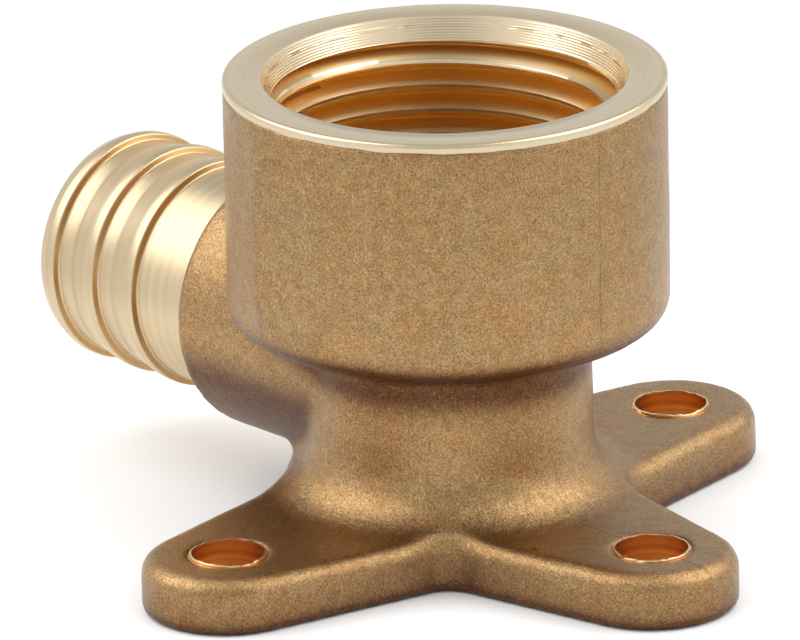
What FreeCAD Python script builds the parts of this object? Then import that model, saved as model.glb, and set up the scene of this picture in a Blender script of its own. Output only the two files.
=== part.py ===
import FreeCAD, Part
import math
import os

V = FreeCAD.Vector

# Threaded collar
collar_d = 31.8
body_height = 34.8
collar_under_z = 16.5
collar_under_round = 1.7
rim_break = 0.3

# Pipe thread port, tap drilled, with a turned mouth cone
mouth_d = 26.4
tap_bore_d = 23.7
mouth_half_angle = 23.0
port_depth = 15.8
port_floor_angle = 25.0

# Neck between the collar and the wall plate
neck_d = 20.5
neck_collar_fillet = 1.6
neck_plate_fillet = 3.8

# Waterway
chamber_d = 14.6
barb_bore_d = 13.4
barb_bore_chamfer = 0.5

# Barb for the plastic pipe, along -X
barb_axis_z = 13.6
barb_tip_x = 35.2
barb_tip_d = 16.2
barb_root_d = 16.0
rib_d = 17.0
rib_count = 3
rib_pitch = 4.28
first_rib_step_x = 33.45
rib_crest_w = 0.75
rib_ramp_w = 2.0
rib_step_w = 0.15

# Cast boss behind the barb
boss_d = 19.4
boss_end_x = 19.0
boss_end_break = 0.6
boss_root_fillet = 1.4

# Wall plate with three ears
side_hole_reach = 21.8
end_hole_reach = 20.8
ear_tip_r = 6.2
ear_half_angle = 11.0
hub_d = 24.4
notch_fillet = 2.0
plate_t = 4.1
ear_top_round = 1.3
ear_foot_break = 0.3
screw_hole_d = 5.3

# Flat pad on the collar side, facing the -Y ear
pad_w = 7.0
pad_proud = 0.08
pad_rim_gap = 2.2
pad_foot_gap = 1.0
pad_edge_round = 0.3

# Distance within which an edge counts as lying on a face
near = 0.001

collar_r = collar_d / 2
neck_r = neck_d / 2
boss_r = boss_d / 2
tap_bore_r = tap_bore_d / 2
port_floor_z = body_height - port_depth
chamber_r = chamber_d / 2
bore_r = barb_bore_d / 2
chamber_floor_z = barb_axis_z - bore_r
ear_angles_and_reach = [(0, end_hole_reach), (90, side_hole_reach), (-90, side_hole_reach)]


def mid_point(edge):
    return edge.valueAt((edge.FirstParameter + edge.LastParameter) / 2)


def face_pair(shape, edge):
    return [face for face in shape.Faces if any(other.isSame(edge) for other in face.Edges)]


def slope_at(face, point):
    u, v = face.Surface.parameter(point)
    return abs(face.normalAt(u, v).z)


# Rounded corner of a turned section, as a smooth curve close to a quarter circle
def round_corner(start, corner, end):
    pull = 0.5523
    curve = Part.BezierCurve()
    curve.setPoles([start, start + (corner - start) * pull, end + (corner - end) * pull, end])
    return curve.toShape()


# Ear tongue: straight sides tangent to a round tip that is concentric with the screw hole
def ear_tongue(reach, height):
    half = math.radians(ear_half_angle)
    root_w = ear_tip_r / math.cos(half) + reach * math.tan(half)
    root_a = V(0, root_w, 0)
    root_b = V(0, -root_w, 0)
    side_a = V(reach + ear_tip_r * math.sin(half), ear_tip_r * math.cos(half), 0)
    side_b = V(side_a.x, -side_a.y, 0)
    tip = V(reach + ear_tip_r, 0, 0)
    edges = [Part.makeLine(root_b, root_a)]
    edges.append(Part.makeLine(root_a, side_a))
    edges.append(Part.Arc(side_a, tip, side_b).toShape())
    edges.append(Part.makeLine(side_b, root_b))
    return Part.Face(Part.Wire(edges)).extrude(V(0, 0, height))


# Plan outline of the plate as a prism, with the inner corners between the ears rounded
def plate_prism(height):
    hub = Part.makeCylinder(hub_d / 2, height, V(0, 0, 0), V(0, 0, 1), 180)
    hub.rotate(V(0, 0, 0), V(0, 0, 1), 90)
    tongues = []
    for angle, reach in ear_angles_and_reach:
        tongue = ear_tongue(reach, height)
        tongue.rotate(V(0, 0, 0), V(0, 0, 1), angle)
        tongues.append(tongue)
    prism = hub.multiFuse(tongues).removeSplitter()
    corners = []
    for edge in prism.Edges:
        start = edge.Vertexes[0].Point
        end = edge.Vertexes[-1].Point
        upright = abs(end.z - start.z) > height / 2
        if upright and math.hypot(start.x, start.y) < end_hole_reach - ear_tip_r:
            corners.append(edge)
    return prism.makeFillet(notch_fillet, corners)


# Neck as a turned section that flares into the plate's top face
def flared_neck(height):
    foot_r = neck_r + neck_plate_fillet
    flare_top = plate_t + neck_plate_fillet
    edges = [Part.makeLine(V(0, 0, 0), V(foot_r, 0, 0))]
    edges.append(Part.makeLine(V(foot_r, 0, 0), V(foot_r, 0, plate_t)))
    edges.append(round_corner(V(foot_r, 0, plate_t), V(neck_r, 0, plate_t), V(neck_r, 0, flare_top)))
    edges.append(Part.makeLine(V(neck_r, 0, flare_top), V(neck_r, 0, height)))
    edges.append(Part.makeLine(V(neck_r, 0, height), V(0, 0, height)))
    edges.append(Part.makeLine(V(0, 0, height), V(0, 0, 0)))
    return Part.Face(Part.Wire(edges)).revolve(V(0, 0, 0), V(0, 0, 1), 360)


# Plate and flared neck, trimmed to the plan outline, then rounded along the ear edges
def wall_foot():
    half_size = side_hole_reach + ear_tip_r + neck_r
    height = collar_under_z - neck_collar_fillet
    slab = Part.makeBox(2 * half_size, 2 * half_size, plate_t, V(-half_size, -half_size, 0))
    foot = slab.fuse(flared_neck(height)).removeSplitter()
    foot = foot.common(plate_prism(height)).removeSplitter()
    top_edges = []
    for edge in foot.Edges:
        point = mid_point(edge)
        slopes = sorted(slope_at(face, point) for face in face_pair(foot, edge))
        on_wall = len(slopes) == 2 and slopes[0] < 0.02 and slopes[1] > 0.1
        if on_wall and near < point.z < plate_t + neck_plate_fillet:
            top_edges.append(edge)
    foot = foot.makeFillet(ear_top_round, top_edges)
    return foot.makeChamfer(ear_foot_break, wall_edges(foot))


def wall_edges(shape):
    edges = []
    for edge in shape.Edges:
        if edge.BoundBox.ZMax < near:
            edges.append(edge)
    return edges


# Collar as a turned section about the thread axis
def collar():
    foot_z = collar_under_z - neck_collar_fillet
    axis_foot = V(0, 0, foot_z)
    neck = V(neck_r, 0, foot_z)
    under_a = V(neck_r + neck_collar_fillet, 0, collar_under_z)
    under_b = V(collar_r - collar_under_round, 0, collar_under_z)
    side = V(collar_r, 0, collar_under_z + collar_under_round)
    brim = V(collar_r, 0, body_height - rim_break)
    face = V(collar_r - rim_break, 0, body_height)
    axis_top = V(0, 0, body_height)
    edges = [Part.makeLine(axis_foot, neck)]
    edges.append(Part.makeLine(neck, under_a))
    edges.append(Part.makeLine(under_a, under_b))
    edges.append(round_corner(under_b, V(collar_r, 0, collar_under_z), side))
    edges.append(Part.makeLine(side, brim))
    edges.append(Part.makeLine(brim, face))
    edges.append(Part.makeLine(face, axis_top))
    edges.append(Part.makeLine(axis_top, axis_foot))
    return Part.Face(Part.Wire(edges)).revolve(V(0, 0, 0), V(0, 0, 1), 360)


# Flat pad standing tangent on the collar side
def collar_pad():
    foot_z = collar_under_z + collar_under_round + pad_foot_gap
    top_z = body_height - pad_rim_gap
    depth = collar_r - tap_bore_r
    pad = Part.makeBox(pad_w, depth / 2, top_z - foot_z, V(-pad_w / 2, -collar_r - pad_proud, foot_z))
    edges = [edge for edge in pad.Edges if edge.BoundBox.YMax < -collar_r - pad_proud + near]
    return pad.makeFillet(pad_edge_round, edges)


# Barb section: lead-in, then ribs with a ramp toward the tip and a steep step toward the body
def barb():
    root_r = barb_root_d / 2
    crest_r = rib_d / 2
    points = [(0, barb_tip_x), (barb_tip_d / 2, barb_tip_x)]
    for index in range(rib_count):
        step_x = first_rib_step_x - index * rib_pitch
        if index > 0:
            points.append((root_r, step_x + rib_crest_w + rib_ramp_w))
        points.append((crest_r, step_x + rib_crest_w))
        points.append((crest_r, step_x))
        points.append((root_r, step_x - rib_step_w))
    points.append((root_r, boss_end_x - boss_end_break))
    points.append((0, boss_end_x - boss_end_break))
    corners = [V(-x, 0, barb_axis_z + r) for r, x in points]
    section = Part.Face(Part.makePolygon(corners + corners[:1]))
    return section.revolve(V(0, 0, barb_axis_z), V(1, 0, 0), 360)


# Cast boss, broken at its outer edge
def boss():
    stock = Part.makeCylinder(boss_r, boss_end_x, V(0, 0, barb_axis_z), V(-1, 0, 0))
    rim = [edge for edge in stock.Edges if edge.BoundBox.XMax < -boss_end_x + near]
    return stock.makeChamfer(boss_end_break, rim)


# Cavity: mouth cone, tap bore, coned floor, flat bottomed chamber and the barb's bore
def waterway():
    mouth_r = mouth_d / 2
    cone_z = body_height - (mouth_r - tap_bore_r) / math.tan(math.radians(mouth_half_angle))
    floor_drop = (tap_bore_r - chamber_r) * math.tan(math.radians(port_floor_angle))
    over = 1.0
    over_r = mouth_r + over * math.tan(math.radians(mouth_half_angle))
    corners = [V(0, 0, body_height + over), V(over_r, 0, body_height + over)]
    corners.append(V(tap_bore_r, 0, cone_z))
    corners.append(V(tap_bore_r, 0, port_floor_z))
    corners.append(V(chamber_r, 0, port_floor_z - floor_drop))
    corners.append(V(chamber_r, 0, chamber_floor_z))
    corners.append(V(0, 0, chamber_floor_z))
    port = Part.Face(Part.makePolygon(corners + corners[:1])).revolve(V(0, 0, 0), V(0, 0, 1), 360)
    bore = Part.makeCylinder(bore_r, barb_tip_x + over, V(0, 0, barb_axis_z), V(-1, 0, 0))
    flare_r = bore_r + barb_bore_chamfer + over
    flare_start = V(-barb_tip_x + barb_bore_chamfer, 0, barb_axis_z)
    flare = Part.makeCone(bore_r, flare_r, barb_bore_chamfer + over, flare_start, V(-1, 0, 0))
    return port.multiFuse([bore, flare])


def screw_holes():
    holes = []
    for angle, reach in ear_angles_and_reach:
        hole = Part.makeCylinder(screw_hole_d / 2, plate_t + neck_plate_fillet, V(reach, 0, -1))
        hole.rotate(V(0, 0, 0), V(0, 0, 1), angle)
        holes.append(hole)
    return holes


# Boss let into the neck and collar, with a cast fillet along the meeting line
def join_boss(body):
    whole = body.fuse(boss()).removeSplitter()
    edges = []
    for edge in whole.Edges:
        point = mid_point(edge)
        from_axis = math.hypot(point.y, point.z - barb_axis_z)
        on_boss = abs(from_axis - boss_r) < near and -point.x < boss_end_x - boss_end_break - near
        if on_boss and len(face_pair(whole, edge)) == 2:
            edges.append(edge)
    return whole.makeFillet(boss_root_fillet, edges)


def elbow_body():
    body = join_boss(wall_foot().fuse(collar()).removeSplitter())
    body = body.multiFuse([collar_pad(), barb()]).removeSplitter()
    return body.cut(waterway().multiFuse(screw_holes()))


os.makedirs("parts", exist_ok=True)
elbow_body().exportStep("parts/elbow_body.step")
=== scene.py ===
"""Dressed scene of a cast brass wall plate elbow with a female pipe thread and a ribbed barb."""

import logging
import math
from dataclasses import dataclass
from enum import Enum
from typing import Iterable, Optional, Sequence

import bmesh
import bpy
from mathutils import Matrix, Quaternion, Vector, noise
from mathutils.bvhtree import BVHTree


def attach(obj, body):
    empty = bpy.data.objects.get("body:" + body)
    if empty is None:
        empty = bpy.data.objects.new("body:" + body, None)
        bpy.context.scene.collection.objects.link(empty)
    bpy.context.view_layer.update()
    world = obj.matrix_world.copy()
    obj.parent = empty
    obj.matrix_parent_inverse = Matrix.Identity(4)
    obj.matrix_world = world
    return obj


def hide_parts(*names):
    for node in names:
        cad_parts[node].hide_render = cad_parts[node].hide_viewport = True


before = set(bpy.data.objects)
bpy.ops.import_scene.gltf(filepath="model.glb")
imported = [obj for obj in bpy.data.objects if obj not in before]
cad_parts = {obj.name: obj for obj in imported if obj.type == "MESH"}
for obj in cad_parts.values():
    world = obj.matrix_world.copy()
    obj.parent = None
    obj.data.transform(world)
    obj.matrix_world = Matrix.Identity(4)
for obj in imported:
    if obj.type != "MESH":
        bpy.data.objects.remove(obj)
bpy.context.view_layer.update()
LOG = logging.getLogger("wall_plate_elbow")
MM = 0.001
BODY_NODE = "elbow_body"
PAINTED_SHADE_OPENNESS = "painted_shade_openness"
GROOVE_DEPTH = "groove_depth"
FIRST_HOLE_SEED = 11
Colour = tuple[float, float, float]
Span = tuple[float, float]


class PortSlot(Enum):
    """Material slots of the threaded port."""

    RIM = 0
    THREAD = 1
    PAINTED_SHADE_FLANK = 2


class Turning(Enum):
    """Axis that tool marks run round, or a drill whose marks run round a hole's wall."""

    THREAD_AXIS = "thread_axis"
    BARB_AXIS = "barb_axis"
    DRILL = "drill"


@dataclass(frozen=True)
class ElbowSizes:
    """Sizes of the casting in millimetres, as in the part's source."""

    collar_r: float = 15.9
    height: float = 34.8
    mouth_r: float = 13.2
    mouth_half_angle: float = 23.0
    barb_axis_z: float = 13.6
    barb_tip_x: float = 35.2
    barb_tip_r: float = 8.1
    barb_root_r: float = 8.0
    rib_r: float = 8.5
    rib_count: int = 3
    rib_pitch: float = 4.28
    first_rib_x: float = 33.45
    rib_crest_w: float = 0.75
    rib_ramp_w: float = 2.0
    rib_step_w: float = 0.15
    barb_bore_r: float = 6.7
    barb_bore_chamfer: float = 0.5
    boss_r: float = 9.7
    plate_t: float = 4.1
    hole_r: float = 2.65
    side_reach: float = 21.8
    end_reach: float = 20.8

    def hole_centres(self) -> tuple[tuple[float, float], ...]:
        """Places of the screw holes on the plate, in millimetres."""
        return (0.0, -self.side_reach), (0.0, self.side_reach), (self.end_reach, 0.0)


SIZES = ElbowSizes()


class Graph:
    """Small helper that adds and links shader nodes in one node tree."""

    def __init__(self, tree: bpy.types.NodeTree) -> None:
        """Start on a tree.

        Args:
            tree: Node tree to fill.
        """
        self.tree = tree

    def add(self, kind: str, inputs: Optional[dict] = None, **settings: object) -> bpy.types.Node:
        """Add a node, set its properties and fill or link its inputs.

        Args:
            kind: Node type name, without the ShaderNode prefix.
            inputs: Values or output sockets by input name or index.
            settings: Node properties.

        Returns:
            The new node.
        """
        node = self.tree.nodes.new(kind if kind.startswith("NodeGroup") else "ShaderNode" + kind)
        for name, value in settings.items():
            setattr(node, name, value)
        for key, value in (inputs or {}).items():
            if isinstance(value, bpy.types.NodeSocket):
                self.tree.links.new(value, node.inputs[key])
            else:
                node.inputs[key].default_value = value
        return node

    def math(self, operation: str, first: object, second: object = 0.0) -> bpy.types.NodeSocket:
        """Add a Math node and return its result.

        Args:
            operation: Math operation name.
            first: First value or socket.
            second: Second value or socket.

        Returns:
            The result socket.
        """
        return self.add("Math", {0: first, 1: second}, operation=operation).outputs[0]

    def stretch(self, value: bpy.types.NodeSocket, source: Span, target: Span = (0.0, 1.0),
                eased: bool = False) -> bpy.types.NodeSocket:
        """Map a value from one range to another, held at the ends.

        Args:
            value: Value socket.
            source: Values that become the two ends of the target range.
            target: Values at the two ends.
            eased: Whether the value eases in and out.

        Returns:
            The mapped value socket.
        """
        inputs = {0: value, 1: source[0], 2: source[1], 3: target[0], 4: target[1]}
        kind = "SMOOTHSTEP" if eased else "LINEAR"
        return self.add("MapRange", inputs, interpolation_type=kind).outputs[0]

    def ramp(self, fac: object, stops: Sequence[tuple[float, Colour]]) -> bpy.types.NodeSocket:
        """Add a colour ramp.

        Args:
            fac: Factor socket.
            stops: Positions with linear colours.

        Returns:
            The colour socket.
        """
        node = self.add("ValToRGB", {"Fac": fac})
        elements = node.color_ramp.elements
        while len(elements) < len(stops):
            elements.new(0.5)
        for element, (position, colour) in zip(elements, stops):
            element.position = position
            element.color = (*colour, 1.0)
        return node.outputs["Color"]

    def mix(self, fac: object, first: object, second: object, blend: str = "MIX") -> bpy.types.NodeSocket:
        """Mix two colours.

        Args:
            fac: Factor value or socket.
            first: First colour or socket.
            second: Second colour or socket.
            blend: Blend mode.

        Returns:
            The mixed colour socket.
        """
        node = self.add("Mix", data_type="RGBA", blend_type=blend)
        for index, value in ((0, fac), (6, first), (7, second)):
            if isinstance(value, bpy.types.NodeSocket):
                self.tree.links.new(value, node.inputs[index])
            elif index == 0:
                node.inputs[index].default_value = value
            else:
                node.inputs[index].default_value = (*value, 1.0)
        return node.outputs[2]


def new_group(name: str, sockets: Iterable[tuple[str, str, str, object]]) -> tuple[bpy.types.NodeTree, Graph]:
    """Make an empty shader node group with named sockets.

    Args:
        name: Name of the group.
        sockets: Name, direction, socket type and default of each socket.

    Returns:
        The group and a graph helper on it.
    """
    tree = bpy.data.node_groups.new(name, "ShaderNodeTree")
    for label, direction, kind, default in sockets:
        socket = tree.interface.new_socket(name=label, in_out=direction, socket_type=kind)
        if default is not None:
            socket.default_value = default
    return tree, Graph(tree)


@dataclass(frozen=True)
class GrainPattern:
    """Noise of the blasted grain and the ranges that its values are stretched to."""

    fine_detail: float = 4.0
    fine_roughness: float = 0.72
    clump_scale: float = 0.2
    clump_height: float = 0.9
    hue_per_m: float = 340.0
    hue_roughness: float = 0.6
    pits_per_m: float = 190.0
    pit_rarity: float = 0.80
    pit_edge: Span = (0.085, 0.03)
    noise_span: Span = (0.30, 0.70)
    shade_span: Span = (0.40, 1.60)
    drift_span: Span = (0.90, 1.10)
    painted_glint_span: Span = (0.60, 0.76)


@dataclass(frozen=True)
class SeamPattern:
    """Course of the mould seam, in metres, and how far it breaks up."""

    wander_per_m: float = 260.0
    wander_m: float = 0.0005
    edge_span: Span = (0.3, 1.0)
    broken_span: Span = (0.38, 0.55)
    faintest: float = 0.25
    neck_z: float = 0.0115
    neck_fade: Span = (0.0055, 0.0085)


def blasted_grain_group() -> bpy.types.NodeTree:
    """Build the grain of a shot-blasted casting: shade, height, hue, painted glint spots and pits.

    Returns:
        The node group.
    """
    tree, graph = new_group("blasted_grain", (
        ("Vector", "INPUT", "NodeSocketVector", None),
        ("Grain Scale", "INPUT", "NodeSocketFloat", 8000.0),
        ("Shade", "OUTPUT", "NodeSocketFloat", None),
        ("Height", "OUTPUT", "NodeSocketFloat", None),
        ("Hue", "OUTPUT", "NodeSocketFloat", None),
        ("Painted Glint Spot", "OUTPUT", "NodeSocketFloat", None),
        ("Pit", "OUTPUT", "NodeSocketFloat", None),
    ))
    pattern = GrainPattern()
    source = graph.add("NodeGroupInput")
    vector, scale = source.outputs["Vector"], source.outputs["Grain Scale"]
    fine = graph.add("TexNoise", {
        "Vector": vector, "Scale": scale, "Detail": pattern.fine_detail,
        "Roughness": pattern.fine_roughness}).outputs[0]
    clump_scale = graph.math("MULTIPLY", scale, pattern.clump_scale)
    clump = graph.add("TexNoise", {"Vector": vector, "Scale": clump_scale, "Detail": 2.0}).outputs[0]
    hue = graph.add("TexNoise", {
        "Vector": vector, "Scale": pattern.hue_per_m, "Detail": 3.0,
        "Roughness": pattern.hue_roughness}).outputs[0]
    spots = graph.add("TexVoronoi", {"Vector": vector, "Scale": pattern.pits_per_m}).outputs
    grain = graph.stretch(fine, pattern.noise_span, pattern.shade_span)
    drift = graph.stretch(clump, pattern.noise_span, pattern.drift_span)
    painted_glint = graph.stretch(fine, pattern.painted_glint_span)
    chance = graph.add("SeparateColor", {0: spots["Color"]}).outputs[1]
    rare = graph.math("GREATER_THAN", chance, pattern.pit_rarity)
    near = graph.stretch(spots["Distance"], pattern.pit_edge)
    target = graph.add("NodeGroupOutput")
    for name, socket in (
            ("Shade", graph.math("MULTIPLY", grain, drift)),
            ("Height", graph.math("ADD", fine, graph.math("MULTIPLY", clump, pattern.clump_height))),
            ("Hue", hue), ("Painted Glint Spot", painted_glint), ("Pit", graph.math("MULTIPLY", rare, near))):
        graph.tree.links.new(socket, target.inputs[name])
    return tree


def mould_seam_group() -> bpy.types.NodeTree:
    """Build the thin mould seam in the plane of the barb, on the side away from it and off the neck.

    Returns:
        The node group.
    """
    tree, graph = new_group("mould_seam", (
        ("Vector", "INPUT", "NodeSocketVector", None),
        ("Half Width", "INPUT", "NodeSocketFloat", 0.00013),
        ("Line", "OUTPUT", "NodeSocketFloat", None),
    ))
    pattern = SeamPattern()
    source = graph.add("NodeGroupInput")
    vector = source.outputs["Vector"]
    parts = graph.add("SeparateXYZ", {0: vector}).outputs
    wander = graph.add("TexNoise", {
        "Vector": vector, "Scale": pattern.wander_per_m, "Detail": 2.0}).outputs[0]
    offset = graph.math("MULTIPLY", graph.math("SUBTRACT", wander, 0.5), pattern.wander_m)
    away = graph.math("ABSOLUTE", graph.math("ADD", parts[1], offset))
    ratio = graph.math("DIVIDE", away, source.outputs["Half Width"])
    line = graph.stretch(ratio, pattern.edge_span, (1.0, 0.0), eased=True)
    broken = graph.stretch(wander, pattern.broken_span, (pattern.faintest, 1.0))
    from_neck = graph.math("ABSOLUTE", graph.math("SUBTRACT", parts[2], pattern.neck_z))
    off_neck = graph.stretch(from_neck, pattern.neck_fade)
    far_side = graph.math("MULTIPLY", graph.math("GREATER_THAN", parts[0], 0.0), off_neck)
    target = graph.add("NodeGroupOutput")
    shown = graph.math("MULTIPLY", graph.math("MULTIPLY", line, broken), far_side)
    graph.tree.links.new(shown, target.inputs["Line"])
    return tree


def turning_marks_group() -> bpy.types.NodeTree:
    """Build concentric tool marks about an axis through the origin along Z.

    Returns:
        The node group.
    """
    tree, graph = new_group("turning_marks", (
        ("Vector", "INPUT", "NodeSocketVector", None),
        ("Pitch Scale", "INPUT", "NodeSocketFloat", 9000.0),
        ("Height", "OUTPUT", "NodeSocketFloat", None),
        ("Streak", "OUTPUT", "NodeSocketFloat", None),
    ))
    height_share, broad_scale = 1.37, 0.16
    source = graph.add("NodeGroupInput")
    pitch = source.outputs["Pitch Scale"]
    parts = graph.add("SeparateXYZ", {0: source.outputs["Vector"]}).outputs
    flat = graph.add("CombineXYZ", {0: parts[0], 1: parts[1]}).outputs[0]
    radius = graph.add("VectorMath", {0: flat}, operation="LENGTH").outputs["Value"]
    path = graph.math("ADD", radius, graph.math("MULTIPLY", parts[2], height_share))
    line = graph.add("CombineXYZ", {0: path}).outputs[0]
    rings = graph.add("TexNoise", {"Vector": line, "Scale": pitch, "Detail": 2.0})
    broad_pitch = graph.math("MULTIPLY", pitch, broad_scale)
    broad = graph.add("TexNoise", {"Vector": line, "Scale": broad_pitch, "Detail": 2.0})
    target = graph.add("NodeGroupOutput")
    graph.tree.links.new(rings.outputs[0], target.inputs["Height"])
    graph.tree.links.new(broad.outputs[0], target.inputs["Streak"])
    return tree


@dataclass(frozen=True)
class CastSkin:
    """Shot-blasted cast brass skin: tan with a fine grain and painted glints, and painted shade in its
    hollows, under the collar and on downward faces.
    """

    name: str = "cast_brass_skin"
    warm: Colour = (0.392, 0.228, 0.099)
    sandy: Colour = (0.381, 0.244, 0.112)
    painted_glint: Colour = (0.80, 0.66, 0.44)
    pit: Colour = (0.085, 0.050, 0.028)
    painted_shade_tint: Colour = (0.32, 0.235, 0.24)
    grain_per_m: float = 6800.0
    roughness: float = 0.32
    spark_polish: float = 0.1
    bump_mm: float = 0.058
    bump_strength: float = 0.7
    hue_span: Span = (0.38, 0.62)
    painted_shade_span: Span = (0.95, 0.35)
    seam_weight: float = 0.26
    painted_glint_weight: float = 0.3
    pit_weight: float = 0.8
    pit_depth: float = 2.0
    seam_height: float = 1.2

    def build(self, groups: "Groups") -> bpy.types.Material:
        """Build the material.

        Args:
            groups: Shared node groups.

        Returns:
            The material.
        """
        material, graph, shader = new_material(self.name)
        coords = graph.add("TexCoord").outputs["Object"]
        grain = groups.place(graph, groups.grain, {"Vector": coords, "Grain Scale": self.grain_per_m}).outputs
        seam = groups.place(graph, groups.seam, {"Vector": coords}).outputs["Line"]
        painted_shade_openness = graph.add("Attribute", attribute_name=PAINTED_SHADE_OPENNESS).outputs["Fac"]
        colour = graph.ramp(grain["Hue"], tuple(zip(self.hue_span, (self.warm, self.sandy))))
        colour = graph.mix(1.0, colour, grain["Shade"], "MULTIPLY")
        # Painted shade: darker and browner where the baked openness value is low, in hollows, under the
        # collar and on downward faces.
        painted_depth_light = graph.stretch(painted_shade_openness, self.painted_shade_span)
        colour = graph.mix(painted_depth_light, colour, graph.mix(1.0, colour, self.painted_shade_tint, "MULTIPLY"))
        colour = graph.mix(graph.math("MULTIPLY", seam, self.seam_weight), colour, self.pit)
        # Painted glints: pale brass mixed in on the grain's highest spots, which are also made a little
        # smoother.
        colour = graph.mix(graph.math("MULTIPLY", grain["Painted Glint Spot"], self.painted_glint_weight), colour, self.painted_glint)
        colour = graph.mix(graph.math("MULTIPLY", grain["Pit"], self.pit_weight), colour, self.pit)
        polish = graph.math("MULTIPLY", grain["Painted Glint Spot"], self.spark_polish)
        rough = graph.math("SUBTRACT", self.roughness, polish)
        height = graph.math("SUBTRACT", grain["Height"], graph.math("MULTIPLY", grain["Pit"], self.pit_depth))
        height = graph.math("ADD", height, graph.math("MULTIPLY", seam, self.seam_height))
        bump = graph.add("Bump", {
            "Strength": self.bump_strength, "Distance": self.bump_mm * MM, "Height": height})
        shader.inputs["Metallic"].default_value = 1.0
        link(graph, shader, {"Base Color": colour, "Roughness": rough, "Normal": bump.outputs[0]})
        return material


@dataclass(frozen=True)
class TurnedBrass:
    """Bright turned brass with concentric tool marks, and, in the thread, a painted reflected glow: a deeper
    amber low in the grooves.
    """

    name: str
    axis: Turning
    colour: Colour
    shade: Colour
    roughness: float
    marks_per_m: float = 9000.0
    streak_span: Span = (0.32, 0.62)
    rough_spread: float = 0.12
    bump_mm: float = 0.012
    bump_strength: float = 0.5
    painted_depth_light: Optional[Colour] = None
    painted_depth_light_span: Span = (0.05, 0.5)

    def build(self, groups: "Groups") -> bpy.types.Material:
        """Build the material.

        Args:
            groups: Shared node groups.

        Returns:
            The material.
        """
        material, graph, shader = new_material(self.name)
        coords = graph.add("TexCoord").outputs["Object"]
        if self.axis is Turning.BARB_AXIS:
            to_axis = (0.0, 0.0, -SIZES.barb_axis_z * MM)
            shifted = graph.add("VectorMath", {0: coords, 1: to_axis}, operation="ADD").outputs[0]
            coords = graph.add("Mapping", {"Vector": shifted, "Rotation": (0.0, math.pi / 2, 0.0)}).outputs[0]
        if self.axis is Turning.DRILL:
            along_hole = (0.0, 0.0, 1.0)
            coords = graph.add("VectorMath", {0: coords, 1: along_hole}, operation="MULTIPLY").outputs[0]
        marks = groups.place(graph, groups.marks, {"Vector": coords, "Pitch Scale": self.marks_per_m}).outputs
        tint = graph.ramp(marks["Streak"], tuple(zip(self.streak_span, (self.shade, self.colour))))
        # Painted light: the colour turns to the deep amber towards the groove roots, a painted reflected
        # glow.
        if self.painted_depth_light is not None:
            depth = graph.add("Attribute", attribute_name=GROOVE_DEPTH).outputs["Fac"]
            tint = graph.mix(graph.stretch(depth, self.painted_depth_light_span), tint, self.painted_depth_light)
        bump = graph.add("Bump", {
            "Strength": self.bump_strength, "Distance": self.bump_mm * MM, "Height": marks["Height"]})
        spread = graph.math("MULTIPLY", marks["Streak"], self.rough_spread)
        rough = graph.math("ADD", self.roughness - self.rough_spread / 2, spread)
        shader.inputs["Metallic"].default_value = 1.0
        link(graph, shader, {"Base Color": tint, "Roughness": rough, "Normal": bump.outputs[0]})
        return material


BARB_BRASS = TurnedBrass("turned_barb_brass", Turning.BARB_AXIS, colour=(0.655, 0.53, 0.35),
                         shade=(0.595, 0.468, 0.29), roughness=0.37, bump_mm=0.005)
# Darker, more orange copy of the barb's finish for the rib steps that face the body: painted shade.
PAINTED_SHADE_STEP_BRASS = TurnedBrass("rib_step_painted_shade_brass", Turning.BARB_AXIS, colour=(0.66, 0.43, 0.20),
                         shade=(0.55, 0.33, 0.13), roughness=0.32)
RIM_BRASS = TurnedBrass("turned_rim_brass", Turning.THREAD_AXIS, colour=(0.78, 0.665, 0.475),
                        shade=(0.70, 0.575, 0.38), roughness=0.27, bump_mm=0.006)
# Thread: pale towards the crests and deep amber low in the grooves, painted highlight and painted reflected
# glow.
THREAD_BRASS = TurnedBrass("thread_brass", Turning.THREAD_AXIS, colour=(0.93, 0.71, 0.42),
                           shade=(0.86, 0.62, 0.34), roughness=0.33, painted_depth_light=(1.0, 0.65, 0.205))
# Darker copy of the thread's finish for the first upward flank, which the lamps reach directly: painted
# shade.
PAINTED_SHADE_FLANK_BRASS = TurnedBrass("painted_shade_flank_brass", Turning.THREAD_AXIS, colour=(0.42, 0.345, 0.22),
                          shade=(0.37, 0.285, 0.165), roughness=0.42, painted_depth_light=(0.55, 0.31, 0.09),
                          painted_depth_light_span=(0.12, 0.65))
DRILLED_BRASS = TurnedBrass("drilled_brass", Turning.DRILL, colour=(0.95, 0.52, 0.175),
                            shade=(0.64, 0.31, 0.09), roughness=0.3)


@dataclass(frozen=True)
class FloorFinish:
    """Pale studio floor that keeps the shadow and fades to white away from the part."""

    name: str = "pale_floor"
    colour: Colour = (0.92, 0.92, 0.92)
    roughness: float = 0.7
    clear_m: float = 0.034
    white_m: float = 0.075

    def build(self) -> bpy.types.Material:
        """Build the material.

        Returns:
            The material.
        """
        material, graph, shader = new_material(self.name)
        coords = graph.add("TexCoord").outputs["Object"]
        far = graph.add("VectorMath", {0: coords}, operation="LENGTH").outputs["Value"]
        fade = graph.stretch(far, (self.clear_m, self.white_m), eased=True)
        rays = graph.add("LightPath").outputs
        seen = graph.math("MAXIMUM", rays["Is Camera Ray"], rays["Is Glossy Ray"])
        seen = graph.math("MAXIMUM", seen, rays["Is Transmission Ray"])
        white = graph.add("Emission", {"Color": (1.0, 1.0, 1.0, 1.0), "Strength": 1.0})
        blend = graph.add("MixShader", {0: graph.math("MULTIPLY", fade, seen), 1: shader.outputs[0]})
        graph.tree.links.new(white.outputs[0], blend.inputs[2])
        shader.inputs["Base Color"].default_value = (*self.colour, 1.0)
        shader.inputs["Roughness"].default_value = self.roughness
        graph.tree.links.new(blend.outputs[0], graph.tree.nodes["Material Output"].inputs["Surface"])
        return material


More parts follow.
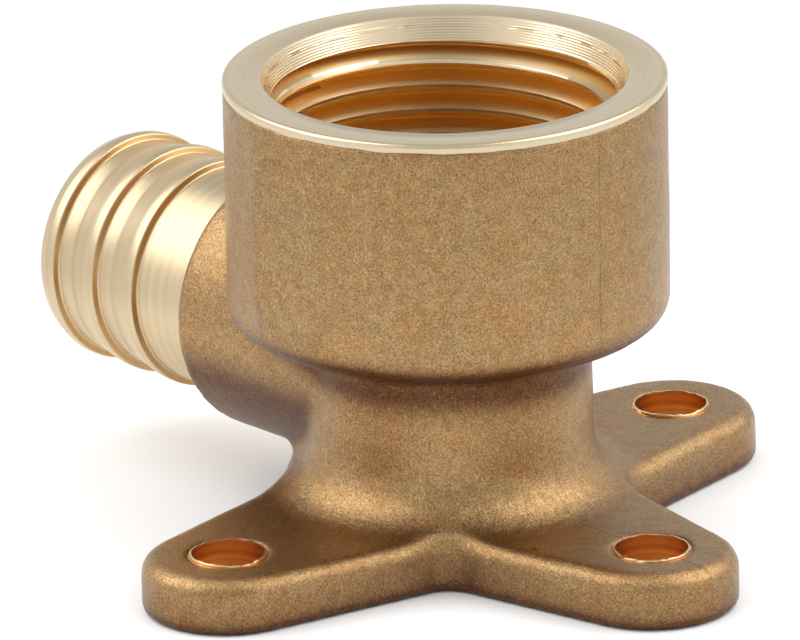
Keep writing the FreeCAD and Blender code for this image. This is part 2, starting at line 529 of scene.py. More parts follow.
class Groups:
    """Shared node groups, built once."""

    def __init__(self) -> None:
        """Build the groups."""
        self.grain = blasted_grain_group()
        self.marks = turning_marks_group()
        self.seam = mould_seam_group()

    @staticmethod
    def place(graph: Graph, group: bpy.types.NodeTree, inputs: dict) -> bpy.types.Node:
        """Place a group in a material, with values or sockets by input name."""
        return graph.add("Group", inputs, node_tree=group)


def new_material(name: str) -> tuple[bpy.types.Material, Graph, bpy.types.Node]:
    """Make a node material with one Principled shader.

    Args:
        name: Material name.

    Returns:
        The material, its graph and its shader.
    """
    material = bpy.data.materials.new(name)
    material.use_nodes = True
    return material, Graph(material.node_tree), material.node_tree.nodes["Principled BSDF"]


def link(graph: Graph, shader: bpy.types.Node, sockets: dict) -> None:
    """Link sockets to a shader's inputs by name.

    Args:
        graph: Graph that holds the shader.
        shader: Shader node.
        sockets: Output sockets by input name.
    """
    for name, socket in sockets.items():
        graph.tree.links.new(socket, shader.inputs[name])


def spin_profile(bm: bmesh.types.BMesh, points: Sequence[tuple[float, float]], axis: Turning,
                 steps: int) -> None:
    """Spin a closed half section about the thread axis or the barb axis.

    Args:
        bm: Mesh that receives the turned shape.
        points: Radius and distance along the axis of each corner, in millimetres.
        axis: Axis of the turning.
        steps: Number of steps in the full turn.
    """
    if axis is Turning.THREAD_AXIS:
        verts = [bm.verts.new((r * MM, 0.0, z * MM)) for r, z in points]
        centre, direction = (0.0, 0.0, 0.0), (0.0, 0.0, 1.0)
    else:
        verts = [bm.verts.new((-x * MM, 0.0, (SIZES.barb_axis_z + r) * MM)) for r, x in points]
        centre, direction = (0.0, 0.0, SIZES.barb_axis_z * MM), (1.0, 0.0, 0.0)
    edges = [bm.edges.new((first, second)) for first, second in zip(verts, verts[1:] + verts[:1])]
    bmesh.ops.spin(bm, geom=verts + edges, cent=centre, axis=direction, angle=2 * math.pi, steps=steps,
                   use_merge=True)


def clean(bm: bmesh.types.BMesh, merge: float = 1e-6) -> None:
    """Merge doubles and point the faces outwards.

    Args:
        bm: Mesh to clean.
        merge: Merge distance in metres.
    """
    bmesh.ops.remove_doubles(bm, verts=bm.verts, dist=merge)
    bmesh.ops.recalc_face_normals(bm, faces=bm.faces)


def smoothstep(low: float, high: float, value: float) -> float:
    """Ease from 0 at low to 1 at high."""
    t = min(1.0, max(0.0, (value - low) / (high - low)))
    return t * t * (3 - 2 * t)


@dataclass
class Piece:
    """One visual piece of the elbow, riding on the part's only body."""

    name: str
    material: bpy.types.Material

    def publish(self, bm: bmesh.types.BMesh, sharp_deg: Optional[float] = None) -> bpy.types.Object:
        """Turn a bmesh into the finished piece.

        Args:
            bm: Finished mesh, freed here.
            sharp_deg: Angle over which an edge stays sharp, or none for all smooth.

        Returns:
            The object, riding on the body.
        """
        mesh = bpy.data.meshes.new(self.name)
        bm.to_mesh(mesh)
        bm.free()
        mesh.materials.append(self.material)
        mesh.shade_smooth()
        if sharp_deg is not None:
            mesh.set_sharp_from_angle(angle=math.radians(sharp_deg))
        thing = bpy.data.objects.new(self.name, mesh)
        bpy.context.scene.collection.objects.link(thing)
        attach(thing, "root")
        LOG.info("%s: %d faces", self.name, len(mesh.polygons))
        return thing


@dataclass
class CastBody(Piece):
    """The cast skin of the fitting: collar side, neck, plate, boss and cast chamber."""

    voxel_mm: float = 0.335
    merge_m: float = 2e-6
    cutter_segments: int = 192
    past_mm: float = 5.0
    hole_past_mm: float = 2.0
    turned_rim_mm: float = 0.52
    port_clear_r: float = 13.9
    port_clear_z: float = 18.6
    barb_cut_x: float = 19.03
    smooth_rounds: int = 3
    smooth_factor: float = 0.4
    pad_half_w: float = 3.5
    pad_ends_z: tuple[float, float] = (19.2, 32.6)
    pad_soft_mm: float = 1.1
    pad_rounds: int = 16
    pad_factor: float = 0.5
    pad_side: float = 0.85
    seed: int = 7
    wave_mm: float = 0.035
    wave_per_mm: float = 0.22
    ripple_mm: float = 0.018
    ripple_per_mm: float = 1.1
    still_foot_mm: float = 0.35
    hole_clear_r: float = 2.78
    probe_rays: int = 24
    probe_mm: float = 13.0
    probe_lift_mm: float = 0.12
    probe_blur: int = 4
    body_share: float = 0.3
    shelter_share: float = 13.0
    floor_share: float = 0.8
    under_share: float = 0.75
    under_span: Span = (-0.05, 0.5)
    top_relief: float = 0.85

    def cutter(self, name: str, radius: float, start: Vector, end: Vector) -> bpy.types.Object:
        """Make a cylinder that clears room for a turned piece.

        Args:
            name: Object name.
            radius: Radius in millimetres.
            start: One end on the axis, in millimetres.
            end: Other end on the axis, in millimetres.

        Returns:
            The cutter object.
        """
        bm = bmesh.new()
        run = end - start
        turn = Vector((0, 0, 1)).rotation_difference(run).to_matrix().to_4x4()
        place = Matrix.Translation((start + end) / 2 * MM) @ turn
        bmesh.ops.create_cone(bm, cap_ends=True, segments=self.cutter_segments, radius1=radius * MM,
                              radius2=radius * MM, depth=run.length * MM, matrix=place)
        mesh = bpy.data.meshes.new(name)
        bm.to_mesh(mesh)
        bm.free()
        thing = bpy.data.objects.new(name, mesh)
        bpy.context.scene.collection.objects.link(thing)
        return thing

    def cast_blank(self) -> bpy.types.Mesh:
        """Copy the solid's mesh, clear the turned zones and remesh it evenly.

        Returns:
            The remeshed casting.
        """
        bm = bmesh.new()
        bm.from_mesh(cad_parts[BODY_NODE].data)
        bmesh.ops.remove_doubles(bm, verts=bm.verts, dist=self.merge_m)
        mesh = bpy.data.meshes.new(self.name + "_blank")
        bm.to_mesh(mesh)
        bm.free()
        blank = bpy.data.objects.new(self.name + "_blank", mesh)
        bpy.context.scene.collection.objects.link(blank)
        rim = Vector((0, 0, SIZES.height - self.turned_rim_mm))
        top = Vector((0, 0, SIZES.height))
        past_rim = Vector((0, 0, SIZES.height + self.past_mm))
        axis = Vector((0, 0, SIZES.barb_axis_z))
        boss_end = axis - Vector((self.barb_cut_x, 0, 0))
        past_tip = axis - Vector((SIZES.barb_tip_x + self.past_mm, 0, 0))
        cutters = [
            self.cutter("rim_cut", 2 * SIZES.collar_r, rim, past_rim),
            self.cutter("port_cut", self.port_clear_r, Vector((0, 0, self.port_clear_z)), top),
            self.cutter("barb_cut", 2 * SIZES.boss_r, boss_end, past_tip),
        ]
        for x, y in SIZES.hole_centres():
            low = Vector((x, y, -self.hole_past_mm))
            high = Vector((x, y, SIZES.plate_t + self.hole_past_mm))
            cutters.append(self.cutter("hole_cut", self.hole_clear_r, low, high))
        for thing in cutters:
            cut = blank.modifiers.new(thing.name, "BOOLEAN")
            cut.operation = "DIFFERENCE"
            cut.solver = "EXACT"
            cut.object = thing
        even = blank.modifiers.new("even", "REMESH")
        even.mode = "VOXEL"
        even.voxel_size = self.voxel_mm * MM
        graph = bpy.context.evaluated_depsgraph_get()
        made = bpy.data.meshes.new_from_object(blank.evaluated_get(graph))
        for thing in [blank, *cutters]:
            bpy.data.objects.remove(thing)
        return made

    @staticmethod
    def smooth(bm: bmesh.types.BMesh, verts: Sequence[bmesh.types.BMVert], factor: float,
               rounds: int) -> None:
        """Smooth some vertices of the casting.

        Args:
            bm: Casting mesh.
            verts: Vertices to smooth.
            factor: Share of the way to the neighbours' middle.
            rounds: Number of rounds.
        """
        for _ in range(rounds):
            bmesh.ops.smooth_vert(bm, verts=verts, factor=factor, use_axis_x=True, use_axis_y=True,
                                  use_axis_z=True)

    def soften_pad(self, bm: bmesh.types.BMesh) -> None:
        """Let the upper and lower corners of the flat pad run softly into the collar.

        Args:
            bm: Casting mesh.
        """
        corners = []
        for vert in bm.verts:
            x, y, z = vert.co / MM
            on_pad_side = y < -self.pad_side * SIZES.collar_r
            near_edge = abs(abs(x) - self.pad_half_w) < 1.5 * self.pad_soft_mm
            near_end = min(abs(z - end) for end in self.pad_ends_z) < self.pad_soft_mm
            if on_pad_side and near_edge and near_end:
                corners.append(vert)
        self.smooth(bm, corners, self.pad_factor, self.pad_rounds)

    def roughen(self, bm: bmesh.types.BMesh) -> None:
        """Give the cast skin its slight waves and ripples.

        Args:
            bm: Casting mesh.
        """
        noise.seed_set(self.seed)
        bm.normal_update()
        moves = []
        for vert in bm.verts:
            point = vert.co / MM
            wave = self.wave_mm * noise.noise(point * self.wave_per_mm)
            lift = wave + self.ripple_mm * noise.noise(point * self.ripple_per_mm)
            if point.z < self.still_foot_mm:
                lift = 0.0
            moves.append((vert, vert.normal * lift * MM))
        for vert, move in moves:
            vert.co += move

    def painted_shade_openness(self, bm: bmesh.types.BMesh) -> list[float]:
        """Measure how open the surroundings are at each vertex, for the painted shade in hollows, under the
        collar and on downward faces.

        Args:
            bm: Casting mesh.

        Returns:
            Values from 0 in closed corners to 1 on open skin.
        """
        bm.normal_update()
        bm.verts.index_update()
        tree = BVHTree.FromBMesh(bm)
        golden = math.pi * (3 - math.sqrt(5))
        rays = []
        for index in range(self.probe_rays):
            height = math.sqrt(1 - (index + 0.5) / self.probe_rays)
            spread = math.sqrt(1 - height * height)
            rays.append((spread * math.cos(golden * index), spread * math.sin(golden * index), height))
        reach = self.probe_mm * MM
        values = []
        for vert in bm.verts:
            side = Vector((0, 0, 1)).cross(vert.normal)
            side = side.normalized() if side.length > 0.05 else vert.normal.orthogonal().normalized()
            other = vert.normal.cross(side)
            start = vert.co + vert.normal * self.probe_lift_mm * MM
            closed, above = 0.0, 0
            for x, y, z in rays:
                ray = side * x + other * y + vert.normal * z
                if tree.ray_cast(start, ray, reach)[0] is not None:
                    closed += self.body_share
                    above += ray.z > 0
                elif ray.z < 0 and -start.z / ray.z < reach:
                    closed += self.floor_share
            # Painted shade: floor hits, cover overhead and downward facing lower the value; upward faces are
            # spared.
            closed *= 1 - self.top_relief * max(0.0, vert.normal.z)
            upright = (1 - abs(vert.normal.z)) ** 2
            shelter = self.shelter_share * upright * (above / len(rays)) ** 2
            under = self.under_share * smoothstep(*self.under_span, -vert.normal.z)
            values.append((1 - closed / len(rays) - shelter) * (1 - under))
        near = [[edge.other_vert(vert).index for edge in vert.link_edges] for vert in bm.verts]
        for _ in range(self.probe_blur):
            values = [(value + sum(values[k] for k in ring)) / (1 + len(ring))
                      for value, ring in zip(values, near)]
        return values

    def build(self) -> bpy.types.Object:
        """Build the casting.

        Returns:
            The finished object.
        """
        mesh = self.cast_blank()
        bm = bmesh.new()
        bm.from_mesh(mesh)
        bpy.data.meshes.remove(mesh)
        self.smooth(bm, bm.verts, self.smooth_factor, self.smooth_rounds)
        self.soften_pad(bm)
        painted_shade_openness = self.painted_shade_openness(bm)
        self.roughen(bm)
        thing = self.publish(bm)
        thing.data.attributes.new(PAINTED_SHADE_OPENNESS, "FLOAT", "POINT").data.foreach_set("value", painted_shade_openness)
        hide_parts(BODY_NODE)
        return thing


@dataclass
class ThreadedPort(Piece):
    """Turned rim, grooved mouth cone and tapered internal pipe thread, as one closed sleeve."""

    pitch: float = 1.814
    flank_deg: float = 30.0
    flank_facing: float = 0.5
    crest_r: float = 11.85
    root_r: float = 13.1
    crest_flat: float = 0.22
    crest_band_mm: float = 0.05
    taper: float = 1 / 32
    start_turn: float = 0.233
    first_turns: float = 1.25
    steps: int = 224
    thread_merge_m: float = 2e-6
    cut_tolerance_m: float = 1e-8
    merge_m: float = 1e-6
    final_merge_m: float = 1e-7
    throat_depth: float = 1.65
    throat_gap_mm: float = 0.03
    end_band_mm: float = 0.05
    cone_band_mm: float = 0.03
    cone_grooves: int = 9
    groove_mm: float = 0.024
    groove_section: tuple[Span, ...] = ((0.0, 0.0), (0.3, 1.0), (0.75, 0.6))
    mouth_break: Span = (0.05, 0.03)
    rim_round: float = 0.25
    rim_round_steps: int = 4
    proud_mm: float = 0.03
    skirt_mm: float = 0.62
    skirt_lip: Span = (0.2, 0.05)
    skirt_band_mm: float = 0.06
    skirt_rag_mm: float = 0.09
    skirt_rag_per_mm: float = 0.55
    seed: int = 5
    sleeve_r: float = 13.96
    foot_z: float = 18.65
    foot_lip_mm: float = 0.3
    sharp_deg: float = 35.0
    thread_material: Optional[bpy.types.Material] = None
    painted_shade_flank_material: Optional[bpy.types.Material] = None

    def cone_r(self, z: float) -> float:
        """Radius of the mouth cone at a height, in millimetres."""
        return SIZES.mouth_r - (SIZES.height - z) * math.tan(math.radians(SIZES.mouth_half_angle))

    def crest_at(self, z: float, throat_z: float) -> float:
        """Radius of the tapered thread's crests at a height, in millimetres."""
        return self.crest_r + (z - throat_z) * self.taper

    def one_pitch(self) -> list[tuple[float, float]]:
        """Thread section over one pitch.

        Returns:
            Radius and height of its points, from one crest to the next, in millimetres.
        """
        flank = (self.root_r - self.crest_r) * math.tan(math.radians(self.flank_deg))
        root_flat = self.pitch - self.crest_flat - 2 * flank
        runs = ((self.crest_r, self.crest_r, self.crest_flat, 2), (self.crest_r, self.root_r, flank, 4),
                (self.root_r, self.root_r, root_flat, 2), (self.root_r, self.crest_r, flank, 4))
        points = [(self.crest_r, 0.0)]
        z = 0.0
        for start, end, length, cuts in runs:
            for step in range(1, cuts + 1):
                points.append((start + (end - start) * step / cuts, z + length * step / cuts))
            z += length
        return points

    def thread_surface(self, bm: bmesh.types.BMesh, throat_z: float) -> None:
        """Screw the section up the bore, taper it and cut it off at the mouth cone and the floor.

        Args:
            bm: Mesh that receives the thread.
            throat_z: Height of the cone's lower edge, in millimetres.
        """
        start_z = self.foot_z - (1 + self.start_turn) * self.pitch
        turns = math.ceil((SIZES.height - start_z) / self.pitch) + 1
        verts = [bm.verts.new((r * MM, 0.0, (start_z + z) * MM)) for r, z in self.one_pitch()]
        edges = [bm.edges.new(pair) for pair in zip(verts, verts[1:])]
        bmesh.ops.spin(bm, geom=verts + edges, cent=(0, 0, 0), axis=(0, 0, 1), angle=2 * math.pi * turns,
                       steps=self.steps * turns, dvec=(0, 0, self.pitch / self.steps * MM))
        bmesh.ops.remove_doubles(bm, verts=bm.verts, dist=self.thread_merge_m)
        for vert in bm.verts:
            radius = math.hypot(vert.co.x, vert.co.y)
            z = vert.co.z / MM
            wanted = max(radius / MM + (z - throat_z) * self.taper, self.cone_r(z))
            vert.co.x *= wanted * MM / radius
            vert.co.y *= wanted * MM / radius
        for height, up in ((throat_z, 1.0), (self.foot_z, -1.0)):
            geom = list(bm.verts) + list(bm.edges) + list(bm.faces)
            bmesh.ops.bisect_plane(bm, geom=geom, dist=self.cut_tolerance_m, plane_co=(0, 0, height * MM),
                                   plane_no=(0, 0, up), clear_outer=True)

    def section(self, throat_z: float) -> list[tuple[float, float]]:
        """Section of the cone's grooves, the rim face, its rounded edge and the hidden outside.

        Args:
            throat_z: Height of the cone's lower edge, in millimetres.

        Returns:
            Radius and height of its points, from the throat to the foot, in millimetres.
        """
        outer, top = SIZES.collar_r + self.proud_mm, SIZES.height
        skirt = top - self.skirt_mm
        points = []
        for index in range(self.cone_grooves):
            for share, depth in self.groove_section:
                z = throat_z + self.throat_depth * (index + share) / self.cone_grooves
                points.append((self.cone_r(z) + depth * self.groove_mm, z))
        points.append((SIZES.mouth_r, top - self.mouth_break[1]))
        points.append((SIZES.mouth_r + self.mouth_break[0], top))
        points.append((outer - self.rim_round, top))
        for step in range(1, self.rim_round_steps + 1):
            angle = math.pi / 2 * step / self.rim_round_steps
            inset = self.rim_round * (1 - math.sin(angle))
            points.append((outer - inset, top - self.rim_round * (1 - math.cos(angle))))
        lip_w, lip_drop = self.skirt_lip
        points += [(outer, (top + skirt) / 2), (outer, skirt)]
        points += [(outer - lip_w, skirt - lip_drop), (self.sleeve_r, skirt - lip_drop)]
        return points + [(self.sleeve_r, self.foot_z), (self.sleeve_r - self.foot_lip_mm, self.foot_z)]

    def sleeve(self, bm: bmesh.types.BMesh, throat_z: float) -> list[bmesh.types.BMEdge]:
        """Turn the rim and the outside of the sleeve, and let the skirt end unevenly on the cast skin.

        Args:
            bm: Mesh that receives the sleeve.
            throat_z: Height of the cone's lower edge, in millimetres.

        Returns:
            Edges of the two open ends.
        """
        old_verts, old_edges = set(bm.verts), set(bm.edges)
        verts = [bm.verts.new((r * MM, 0.0, z * MM)) for r, z in self.section(throat_z)]
        edges = [bm.edges.new(pair) for pair in zip(verts, verts[1:])]
        bmesh.ops.spin(bm, geom=verts + edges, cent=(0, 0, 0), axis=(0, 0, 1), angle=2 * math.pi,
                       steps=self.steps, use_merge=True)
        noise.seed_set(self.seed)
        skirt = SIZES.height - self.skirt_mm
        for vert in set(bm.verts) - old_verts:
            if abs(vert.co.z / MM - skirt) < self.skirt_band_mm:
                vert.co.z += self.skirt_rag_mm * noise.noise(vert.co / MM * self.skirt_rag_per_mm) * MM
        return [edge for edge in bm.edges if edge not in old_edges and edge.is_boundary]

    def choose_slots(self, bm: bmesh.types.BMesh, throat_z: float) -> None:
        """Give the rim, the thread and the thread's first flank their material slots; the crests take the
        paler rim finish as a painted highlight, and the first upward flank a darker copy of the thread's
        finish as painted shade.

        Args:
            bm: Finished mesh.
            throat_z: Height of the cone's lower edge, in millimetres.
        """
        first_z = throat_z - self.first_turns * self.pitch
        for face in bm.faces:
            centre = face.calc_center_median() / MM
            radius = math.hypot(centre.x, centre.y)
            # The crests take the paler rim finish as a painted highlight; the cone is turned like the rim.
            on_crest = radius < self.crest_at(centre.z, throat_z) + self.crest_band_mm
            on_cone = abs(radius - self.cone_r(centre.z)) < self.cone_band_mm
            in_thread = radius < SIZES.mouth_r and centre.z < throat_z
            slot = PortSlot.RIM
            if in_thread and not on_crest and not on_cone:
                # Painted shade: the first upward flank below the throat gets the darker copy.
                first = face.normal.z > self.flank_facing and centre.z > first_z
                slot = PortSlot.PAINTED_SHADE_FLANK if first else PortSlot.THREAD
            face.material_index = slot.value

    def groove_depths(self, bm: bmesh.types.BMesh, throat_z: float) -> list[float]:
        """Measure how deep in the thread's groove each vertex lies.

        Args:
            bm: Finished mesh.
            throat_z: Height of the cone's lower edge, in millimetres.

        Returns:
            Values from 0 at the crests to 1 at the roots.
        """
        depths = []
        for vert in bm.verts:
            crest = self.crest_at(vert.co.z / MM, throat_z)
            depths.append((math.hypot(vert.co.x, vert.co.y) / MM - crest) / (self.root_r - self.crest_r))
        return depths

    def build(self) -> bpy.types.Object:
        """Build the port.

        Returns:
            The finished object.
        """
        bm = bmesh.new()
        throat_z = SIZES.height - self.throat_depth
        self.thread_surface(bm, throat_z - self.throat_gap_mm)
        bmesh.ops.remove_doubles(bm, verts=bm.verts, dist=self.merge_m)
        inner_ends = [edge for edge in bm.edges if edge.is_boundary]
        outer_ends = self.sleeve(bm, throat_z)
        for height in (throat_z, self.foot_z):
            loops = [edge for edge in inner_ends + outer_ends if edge.is_valid and
                     all(abs(vert.co.z / MM - height) < self.end_band_mm for vert in edge.verts)]
            bmesh.ops.bridge_loops(bm, edges=loops)
        clean(bm, self.final_merge_m)
        self.choose_slots(bm, throat_z)
        depths = self.groove_depths(bm, throat_z)
        thing = self.publish(bm, self.sharp_deg)
        thing.data.attributes.new(GROOVE_DEPTH, "FLOAT", "POINT").data.foreach_set("value", depths)
        thing.data.materials.append(self.thread_material)
        thing.data.materials.append(self.painted_shade_flank_material)
        return thing


@dataclass
class TurnedBarb(Piece):
    """Turned barb with a lead-in, sharp-backed ribs, a plain land and its bore."""

    steps: int = 192
    foot_x: float = 17.4
    land_mm: float = 1.0
    bore_gap_mm: float = 0.02
    ring_deg: float = 9.0
    edge_mm: float = 0.13
    edge_segments: int = 3
    step_facing: float = 0.85
    sharp_deg: float = 50.0
    painted_shade_step_material: Optional[bpy.types.Material] = None

    def section(self) -> list[tuple[float, float]]:
        """Closed half section of the barb.

        Returns:
            Radius and distance from the thread axis of its corners, in millimetres.
        """
        tip = SIZES.barb_tip_x
        bore = SIZES.barb_bore_r + self.bore_gap_mm
        points = [(bore, self.foot_x), (bore, tip - SIZES.barb_bore_chamfer)]
        points += [(bore + SIZES.barb_bore_chamfer, tip), (SIZES.barb_tip_r, tip)]
        for index in range(SIZES.rib_count):
            step_x = SIZES.first_rib_x - index * SIZES.rib_pitch
            if index > 0:
                points.append((SIZES.barb_root_r, step_x + SIZES.rib_crest_w + SIZES.rib_ramp_w))
            points.append((SIZES.rib_r, step_x + SIZES.rib_crest_w))
            points.append((SIZES.rib_r, step_x))
            points.append((SIZES.barb_root_r, step_x - SIZES.rib_step_w))
        points.append((SIZES.barb_root_r, self.foot_x))
        return points

    def build(self) -> bpy.types.Object:
        """Build the barb.

        Returns:
            The finished object.
        """
        bm = bmesh.new()
        spin_profile(bm, self.section(), Turning.BARB_AXIS, self.steps)
        clean(bm)
        least = math.radians(self.ring_deg)
        rings = [edge for edge in bm.edges if len(edge.link_faces) == 2 and edge.calc_face_angle() > least]
        bmesh.ops.bevel(bm, geom=rings, offset=self.edge_mm * MM, affect="EDGES", segments=self.edge_segments,
                        profile=0.5, material=-1, clamp_overlap=True)
        clean(bm)
        # Painted shade: the rib steps facing the body take the darker copy of the barb's finish.
        ribs_end_m = -(self.foot_x + self.land_mm) * MM
        for face in bm.faces:
            on_ribs = face.calc_center_median().x < ribs_end_m
            face.material_index = int(on_ribs and face.normal.x > self.step_facing)
        thing = self.publish(bm, self.sharp_deg)
        thing.data.materials.append(self.painted_shade_step_material)
        return thing


@dataclass
class ScrewHole(Piece):
    """Drilled wall of a screw hole with the ragged bright burr round its top."""

    centre: tuple[float, float] = (0.0, 0.0)
    seed: int = 1
    seed_step: float = 3.7
    steps: int = 128
    wall_mm: float = 0.42
    gap_mm: float = 0.03
    root_mm: float = 0.15
    burr_section: tuple[Span, ...] = ((0.0, 0.05), (0.08, 0.05), (0.12, 0.035), (0.15, 0.01), (0.15, -0.12))
    burr_band_mm: float = 0.03
    rag_band_mm: float = 0.02
    rag_mm: float = 0.09
    rag_turns: Span = (2.1, 6.3)
    fine_rag: float = 0.7
    spread: float = 0.5
    spread_turns: float = 4.0
    spread_shift: tuple[float, float, float] = (5.0, 2.0, 1.0)
    least_spread: float = 0.4
    sharp_deg: float = 60.0
    burr_material: Optional[bpy.types.Material] = None

    def tear(self, bm: bmesh.types.BMesh, inner: float) -> None:
        """Make the burr uneven in height and width round the hole.

        Args:
            bm: Hole mesh, centred on the origin.
            inner: Radius of the hole's wall, in millimetres.
        """
        noise.seed_set(self.seed)
        for vert in bm.verts:
            point = vert.co / MM
            if point.z <= SIZES.plate_t - self.rag_band_mm:
                continue
            radius = math.hypot(point.x, point.y)
            angle = math.atan2(point.y, point.x)
            place = Vector((math.cos(angle), math.sin(angle), self.seed * self.seed_step))
            coarse, fine = (noise.noise(place * turns) for turns in self.rag_turns)
            vert.co.z += self.rag_mm * (coarse + self.fine_rag * fine) * MM
            spread = 1.0 + self.spread * noise.noise(place * self.spread_turns + Vector(self.spread_shift))
            scale = (inner + (radius - inner) * max(self.least_spread, spread)) / radius
            vert.co.x *= scale
            vert.co.y *= scale

    def build(self) -> bpy.types.Object:
        """Build the hole's wall and burr.

        Returns:
            The finished object.
        """
        bm = bmesh.new()
        top = SIZES.plate_t
        inner = SIZES.hole_r - self.gap_mm
        outer = inner + self.wall_mm
        points = [(inner, self.gap_mm), (inner, top - self.root_mm)]
        points += [(inner + out, top + up) for out, up in self.burr_section]
        points += [(outer, top - self.root_mm), (outer, self.gap_mm)]
        spin_profile(bm, points, Turning.THREAD_AXIS, self.steps)
        self.tear(bm, inner)
        bmesh.ops.translate(bm, verts=bm.verts, vec=Vector((*self.centre, 0.0)) * MM)
        clean(bm)
        for face in bm.faces:
            face.material_index = int(face.calc_center_median().z / MM > top - self.burr_band_mm)
        thing = self.publish(bm, self.sharp_deg)
        thing.data.materials.append(self.burr_material)
        return thing


@dataclass(frozen=True)
class Softbox:
    """Square soft lamp that faces the part."""

    name: str
    azimuth: float
    elevation: float = 47.0
    watts: float = 3.3
    side_m: float = 0.68
    reach_m: float = 0.7


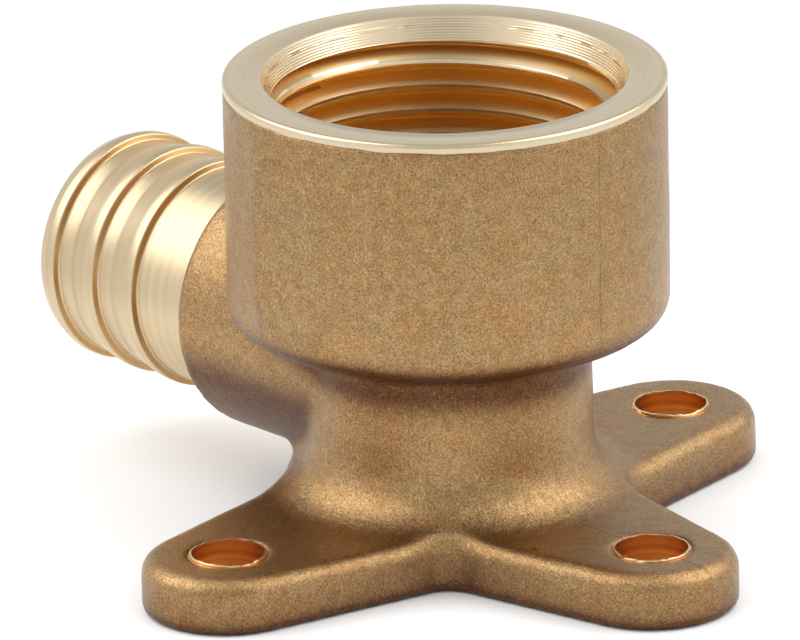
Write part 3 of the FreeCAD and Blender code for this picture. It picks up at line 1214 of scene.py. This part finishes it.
@dataclass
class Studio:
    """Camera, soft lamps, pale floor and white surround."""

    azimuth: float = 47.356
    elevation: float = 19.623
    roll: float = -1.053
    distance_mm: float = 1058.0
    aim_z_mm: float = 15.1
    focal_px: float = 14736.0
    aim_px: tuple[float, float] = (449.53, 333.42)
    image: tuple[int, int] = (800, 640)
    sensor_mm: float = 36.0
    clip_m: Span = (0.05, 50.0)
    softboxes: tuple[Softbox, ...] = (Softbox("left_softbox", -46.0), Softbox("right_softbox", 141.0))
    lamp_aim_m: float = 0.017
    ambient: float = 0.95
    rear_level: float = 0.76
    rear_span: Span = (-0.2, 0.9)
    zenith_level: float = 0.62
    zenith_span: Span = (0.3, 0.9)
    front_level: float = 0.5
    front_span: Span = (0.80, 0.96)
    floor_half_m: float = 6.0
    floor_gap_mm: float = 0.02

    def back(self, azimuth: float, elevation: float) -> Vector:
        """Direction from the part towards a viewer.

        Args:
            azimuth: Degrees, 0 with the viewer on the -Y side.
            elevation: Degrees above the floor.

        Returns:
            Unit vector.
        """
        a, e = math.radians(azimuth), math.radians(elevation)
        return Vector((math.sin(a) * math.cos(e), -math.cos(a) * math.cos(e), math.sin(e)))

    def camera(self) -> bpy.types.Object:
        """Set the camera at the photograph's viewing angle.

        Returns:
            The camera object.
        """
        data = bpy.data.cameras.new("camera")
        data.sensor_width = self.sensor_mm
        data.lens = self.focal_px / self.image[0] * data.sensor_width
        data.shift_x = (self.image[0] / 2 - self.aim_px[0]) / self.image[0]
        data.shift_y = (self.aim_px[1] - self.image[1] / 2) / self.image[0]
        data.clip_start, data.clip_end = self.clip_m
        thing = bpy.data.objects.new("camera", data)
        bpy.context.scene.collection.objects.link(thing)
        back = self.back(self.azimuth, self.elevation)
        thing.location = Vector((0, 0, self.aim_z_mm)) * MM + back * self.distance_mm * MM
        thing.rotation_mode = "QUATERNION"
        turn = (-back).to_track_quat("-Z", "Y")
        thing.rotation_quaternion = turn @ Quaternion((0, 0, 1), math.radians(self.roll))
        bpy.context.scene.camera = thing
        return thing

    def hang(self, box: Softbox) -> None:
        """Hang one lamp.

        Args:
            box: Lamp to hang.
        """
        data = bpy.data.lights.new(box.name, "AREA")
        data.energy, data.size = box.watts, box.side_m
        thing = bpy.data.objects.new(box.name, data)
        bpy.context.scene.collection.objects.link(thing)
        back = self.back(box.azimuth, box.elevation)
        thing.location = Vector((0, 0, self.lamp_aim_m)) + back * box.reach_m
        thing.rotation_mode = "QUATERNION"
        thing.rotation_quaternion = (-back).to_track_quat("-Z", "Y")

    def light(self) -> None:
        """Hang the lamps."""
        for box in self.softboxes:
            self.hang(box)

    def floor(self, material: bpy.types.Material) -> bpy.types.Object:
        """Lay the floor under the plate.

        Args:
            material: Floor finish.

        Returns:
            The floor object.
        """
        bm = bmesh.new()
        bmesh.ops.create_grid(bm, x_segments=1, y_segments=1, size=self.floor_half_m)
        bmesh.ops.translate(bm, verts=bm.verts, vec=(0, 0, -self.floor_gap_mm * MM))
        mesh = bpy.data.meshes.new("floor")
        bm.to_mesh(mesh)
        bm.free()
        mesh.materials.append(material)
        thing = bpy.data.objects.new("floor", mesh)
        bpy.context.scene.collection.objects.link(thing)
        return thing

    def world(self) -> None:
        """Surround the part with white that also shows in the metal, dimmer behind, ahead and overhead."""
        world = bpy.data.worlds.new("surround")
        world.use_nodes = True
        bpy.context.scene.world = world
        graph = Graph(world.node_tree)
        base = world.node_tree.nodes["Background"]
        base.inputs["Color"].default_value = (1.0, 1.0, 1.0, 1.0)
        base.inputs["Strength"].default_value = self.ambient
        rays = graph.add("LightPath").outputs
        seen = graph.math("MAXIMUM", rays["Is Camera Ray"], rays["Is Glossy Ray"])
        seen = graph.math("MAXIMUM", seen, rays["Is Transmission Ray"])
        rear = -self.back(self.azimuth, 0.0)
        sight = graph.add("TexCoord").outputs["Generated"]
        facing = graph.add("VectorMath", {0: sight, 1: rear}, operation="DOT_PRODUCT").outputs["Value"]
        dim = graph.stretch(facing, self.rear_span, (1.0, self.rear_level))
        ahead = graph.math("MULTIPLY", facing, -1.0)
        front = graph.stretch(ahead, self.front_span, (1.0, self.front_level))
        dim = graph.math("MULTIPLY", dim, front)
        rise = graph.add("SeparateXYZ", {0: sight}).outputs[2]
        high = graph.stretch(rise, self.zenith_span, (1.0, self.zenith_level))
        level = graph.math("MAXIMUM", graph.math("MULTIPLY", dim, high), rays["Is Camera Ray"])
        white = graph.add("Background", {"Color": (1.0, 1.0, 1.0, 1.0), "Strength": level})
        blend = graph.add("MixShader", {0: seen, 1: base.outputs[0], 2: white.outputs[0]})
        graph.tree.links.new(blend.outputs[0], world.node_tree.nodes["World Output"].inputs["Surface"])


def main() -> None:
    """Build the dressed elbow and its studio, piece by piece."""
    logging.basicConfig(level=logging.INFO, format="%(name)s %(message)s")
    groups = Groups()
    cast = CastSkin().build(groups)
    barb = BARB_BRASS.build(groups)
    # The rib steps' finish is painted shade.
    step = PAINTED_SHADE_STEP_BRASS.build(groups)
    rim = RIM_BRASS.build(groups)
    thread = THREAD_BRASS.build(groups)
    # The first flank's finish is painted shade.
    flank = PAINTED_SHADE_FLANK_BRASS.build(groups)
    drilled = DRILLED_BRASS.build(groups)
    CastBody("cast_body", cast).build()
    ThreadedPort("threaded_port", rim, thread_material=thread, painted_shade_flank_material=flank).build()
    TurnedBarb("turned_barb", barb, painted_shade_step_material=step).build()
    for index, centre in enumerate(SIZES.hole_centres()):
        name = f"screw_hole_{index + 1}"
        ScrewHole(name, drilled, centre=centre, seed=FIRST_HOLE_SEED + index, burr_material=rim).build()
    studio = Studio()
    studio.camera()
    studio.light()
    studio.world()
    studio.floor(FloorFinish().build())
    bpy.context.scene.view_settings.view_transform = "Standard"


if __name__ == "__main__":
    main()
